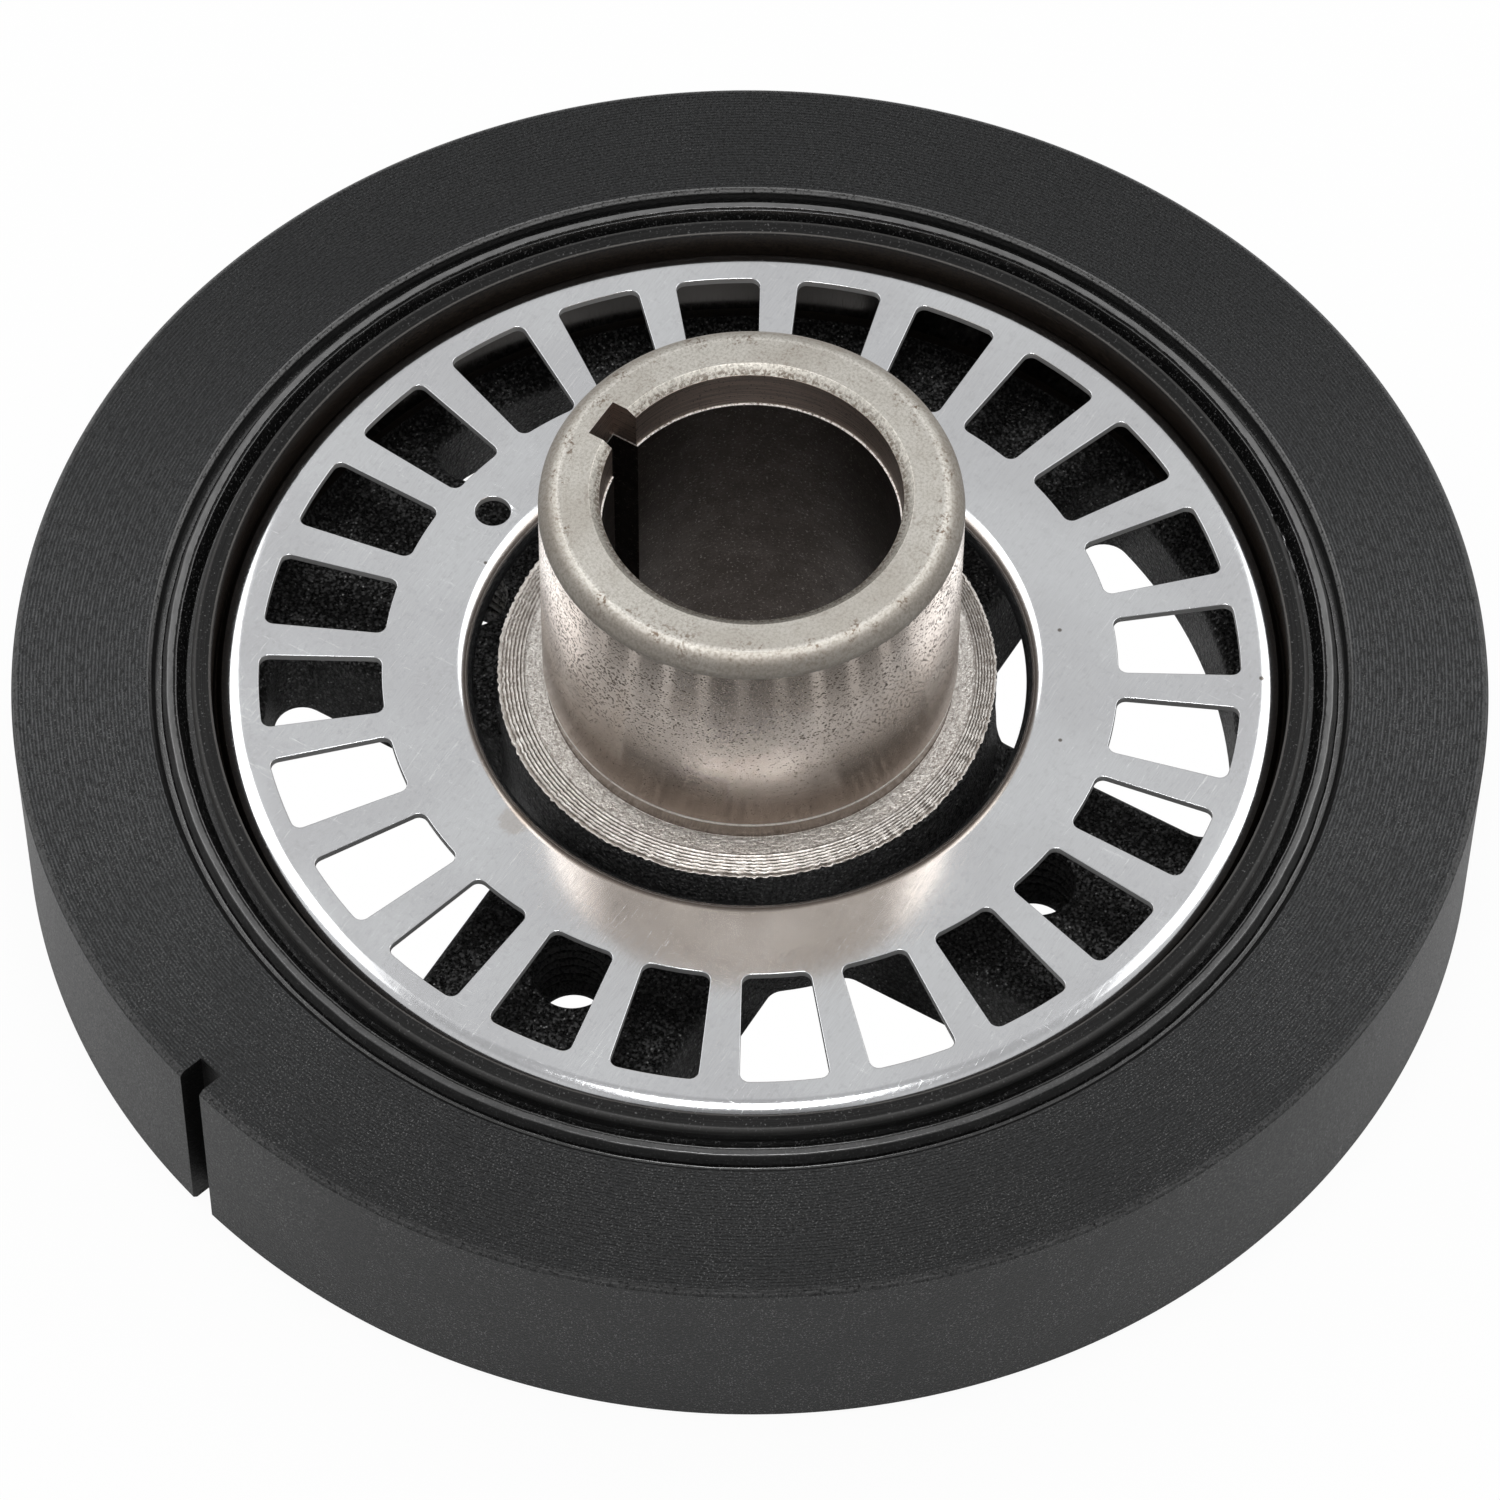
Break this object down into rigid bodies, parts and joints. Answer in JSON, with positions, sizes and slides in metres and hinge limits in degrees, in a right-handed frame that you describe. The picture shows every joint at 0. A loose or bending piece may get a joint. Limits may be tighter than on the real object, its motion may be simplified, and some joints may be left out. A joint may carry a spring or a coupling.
{
  "type": "harmonic balancer",
  "caption": "Crankshaft harmonic balancer: spoked hub with a keyed nose, a rubber-mounted inertia ring with a timing notch, and a pressed trigger ring for a crank sensor.",
  "frame": {"origin": "centre of the flat front face of the hub, on the bore axis", "axes": "+Z along the bore towards the nose, +Y through the keyway, +X follows by the right-hand rule"},
  "size_m": [0.1588, 0.1588, 0.0547],
  "materials": {
    "black_iron": "turned iron under a thin black coat",
    "rubber": "smooth black rubber",
    "hub_iron": "ground nose, turned shoulder, cast faces black",
    "stainless": "pressed stainless sheet, fine scratches"
  },
  "bodies": {
    "root": {"inertia_ring": "black_iron", "rubber_isolator": "rubber", "hub": "hub_iron", "trigger_ring": "stainless"}
  },
  "joints": []
}
